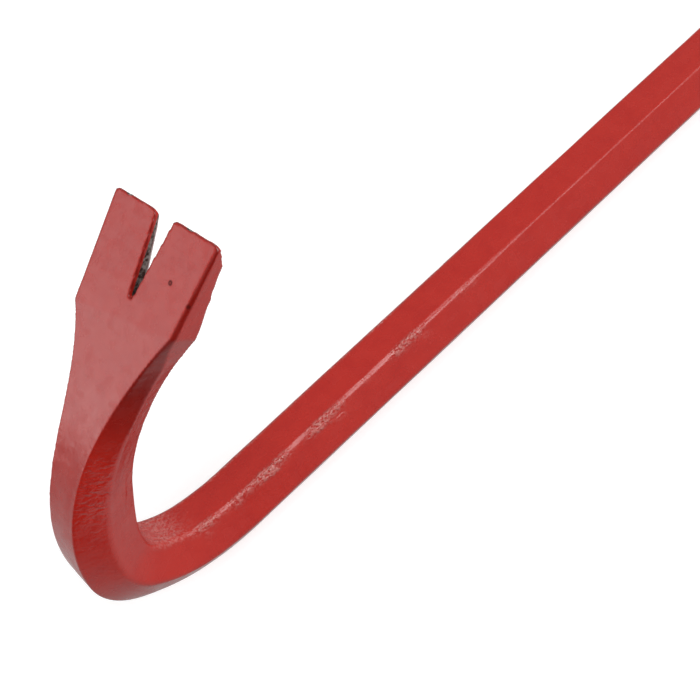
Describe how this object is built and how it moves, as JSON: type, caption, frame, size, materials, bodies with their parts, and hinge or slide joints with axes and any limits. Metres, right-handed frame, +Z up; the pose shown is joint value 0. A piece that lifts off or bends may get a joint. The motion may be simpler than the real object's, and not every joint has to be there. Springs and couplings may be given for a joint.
{
  "type": "gooseneck wrecking bar",
  "caption": "Hexagonal steel wrecking bar, painted red, bent into a hook with a split nail claw and drawn out to a chisel at the straight end.",
  "frame": {"origin": "centre of the bounding box in plan, at the level of the shank's flat underside", "axes": "+X along the straight shank to the chisel end, +Z up out of the side that the hook and the claw curl towards, +Y across the bar"},
  "size_m": [0.6002, 0.039, 0.1183],
  "materials": {
    "red_paint": "gloss red enamel over a forged steel surface, worn through to bare steel at the tips and in the nail slot"
  },
  "bodies": {
    "root": {"forged_bar": "red_paint"}
  },
  "joints": []
}
